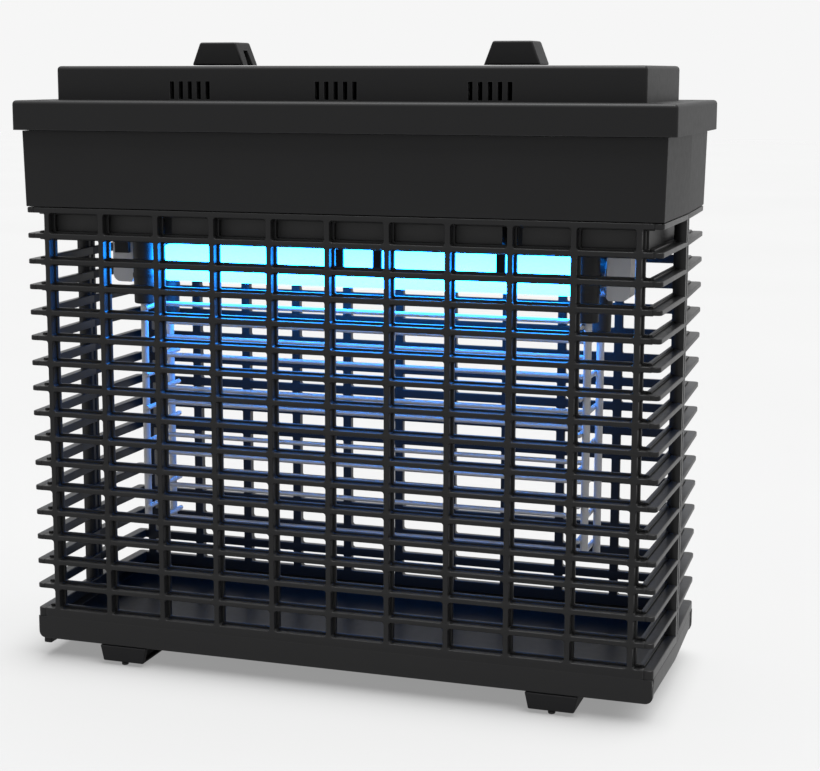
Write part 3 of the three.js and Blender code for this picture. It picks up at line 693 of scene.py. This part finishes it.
def build_housing():
    """The ballast housing, its corners rounded by trimming the CAD solid to a flared prism.

    The prism goes on above the housing, so that it leaves the top edge uncut.
    """
    low, high = [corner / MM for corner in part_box("ballast_housing")]
    flare = (high.x / (CAGE_X + RIDGE) - 1) / (high.z - low.z)
    x, y, r = CAGE_X - HOUSING_HAIR, CAGE_Y - HOUSING_HAIR, HOUSING_R
    right = arc(x - r, -y + r, r, 270, 360, 4) + [(x + RIDGE, 0)] + arc(x - r, y - r, r, 0, 90, 4)
    outline = right + [(-px, -py) for px, py in right]
    envelope = bmesh.new()

    def flared(px, py, pz):
        grow = 1 + flare * (pz - low.z)
        return (px * grow, py * grow, pz)

    add_plate(envelope, outline, [], low.z + HOUSING_HAIR, high.z + 2, HOUSING_EDGE, flared,
              segments=3)
    stand_for(trimmed("ballast_housing", envelope), "ballast_housing")


def build_shells():
    build_lid()
    build_housing()
    for node, (width, shortest) in SOFTENED.items():
        # the lamp carrier takes the lighter copy of the black plastic, painted light on its shaded
        # recesses
        finish = "carrier_painted_light_plastic" if node == "lamp_carrier" else None
        stand_for(softened(node, width, shortest), node, NODE_BODY[node], finish)
    for corner in CORNERS:
        for kind, (width, shortest) in SOFTENED_AT_CORNERS.items():
            node = f"{kind}_{corner}"
            stand_for(softened(node, width, shortest), node)


# ---- stage -----------------------------------------------------------------------------------
STUDIO_WHITE = 0.922  # the background's and the floor's brightness
OVERHEAD = 10.0
FLOOR_TONE = 0.03
FLOOR_DIRECT = 0.6  # the part of the floor's brightness that a shadow takes away
FLOOR_LIGHT_TRAVEL = (-0.3, -0.42, -1.0)
FLOOR_LIGHT_SLOPE = 0.516  # how far its travel goes sideways for each metre down
FLOOR_LIGHT = FLOOR_DIRECT * math.pi / FLOOR_TONE / math.cos(math.atan(FLOOR_LIGHT_SLOPE))
OVERHEAD_ANGLE, FLOOR_LIGHT_ANGLE = 40, 84  # width of each light as seen from the object, degrees
FLOOR_HALF = 6.0  # metres


def build_floor():
    """A pale floor, wide enough to meet the background, which has the same tone."""
    mesh = bpy.data.meshes.new("studio_floor")
    mesh.from_pydata([(sx * FLOOR_HALF, sy * FLOOR_HALF, 0)
                      for sx, sy in ((-1, -1), (1, -1), (1, 1), (-1, 1))], [], [(0, 1, 2, 3)])
    floor = bpy.data.objects.new("studio_floor", mesh)
    bpy.context.scene.collection.objects.link(floor)
    nodes, links, shader = new_material("pale_floor")
    tone = mixed(nodes, links, noise(nodes, links, 3), (FLOOR_TONE - 0.001,) * 3,
                 (FLOOR_TONE + 0.001,) * 3)
    links.new(tone, shader.inputs["Base Color"])
    shader.inputs["Roughness"].default_value = 0.9
    shader.inputs["Specular IOR Level"].default_value = 0.0
    shader.inputs["Emission Color"].default_value = (1, 1, 1, 1)
    lit = FLOOR_TONE * STUDIO_WHITE + FLOOR_DIRECT
    shader.inputs["Emission Strength"].default_value = STUDIO_WHITE - lit
    mesh.materials.append(FINISHES["pale_floor"])


def add_sun(name, energy, angle, travel):
    data = bpy.data.lights.new(name, "SUN")
    data.energy = energy
    data.angle = math.radians(angle)
    light = bpy.data.objects.new(name, data)
    light.rotation_euler = Vector(travel).to_track_quat("-Z", "Y").to_euler()
    bpy.context.scene.collection.objects.link(light)
    return light


def linked(name, pieces, state):
    """A collection that says which pieces a light falls on, or is blocked by."""
    collection = bpy.data.collections.new(name)
    for piece in pieces:
        collection.objects.link(piece)
    for member in collection.collection_objects:
        member.light_linking.link_state = state
    return collection


def build_lights():
    """An even white studio, a light overhead that spares the floor, and one for the floor alone.

    Only the tray and the feet block the floor's light, so the shadow stays close to the base.
    """
    world = bpy.data.worlds.new("studio")
    bpy.context.scene.world = world
    world.use_nodes = True
    background = world.node_tree.nodes["Background"]
    background.inputs["Color"].default_value = (1, 1, 1, 1)
    background.inputs["Strength"].default_value = STUDIO_WHITE

    floor = bpy.data.objects["studio_floor"]
    overhead = add_sun("overhead_light", OVERHEAD, OVERHEAD_ANGLE, (0.0, 0.0, -1.0))
    overhead.light_linking.receiver_collection = linked("all_but_floor", [floor], "EXCLUDE")
    contact = add_sun("floor_light", FLOOR_LIGHT, FLOOR_LIGHT_ANGLE, FLOOR_LIGHT_TRAVEL)
    contact.light_linking.receiver_collection = linked("floor_only", [floor], "INCLUDE")
    low_pieces = [bpy.data.objects["catch_tray_shell"]]
    low_pieces += [bpy.data.objects[f"foot_{corner}_shell"] for corner in CORNERS]
    contact.light_linking.blocker_collection = linked("near_the_floor", low_pieces, "INCLUDE")


CAMERA_PLACE = (0.24254, -0.71039, 0.25095)
CAMERA_LENS = 78.22
CAMERA_SHIFT = (0.0383, -0.0339)
CAMERA_DOWN = 9.0957  # degrees below level
CAMERA_ROUND = 18.4813  # degrees to the right of straight in front


def build_camera():
    """The camera is level with the lid, to the right of the front face, and looks down a little."""
    data = bpy.data.cameras.new("camera")
    data.sensor_width = 36.0
    data.lens = CAMERA_LENS
    data.shift_x, data.shift_y = CAMERA_SHIFT
    data.clip_start, data.clip_end = 0.01, 50
    camera = bpy.data.objects.new("camera", data)
    camera.location = CAMERA_PLACE
    camera.rotation_euler = (math.radians(90 - CAMERA_DOWN), 0, math.radians(CAMERA_ROUND))
    bpy.context.scene.collection.objects.link(camera)
    bpy.context.scene.camera = camera


# ---- scene -----------------------------------------------------------------------------------
bpy.context.scene.view_settings.view_transform = "Standard"
build_camera()
build_cage()
build_lamp()
for pole, side in (("front", -1), ("rear", 1)):
    build_electrode(pole, side)
for corner_name in CORNERS:
    build_insulator(corner_name)
build_shells()
build_floor()
build_lights()
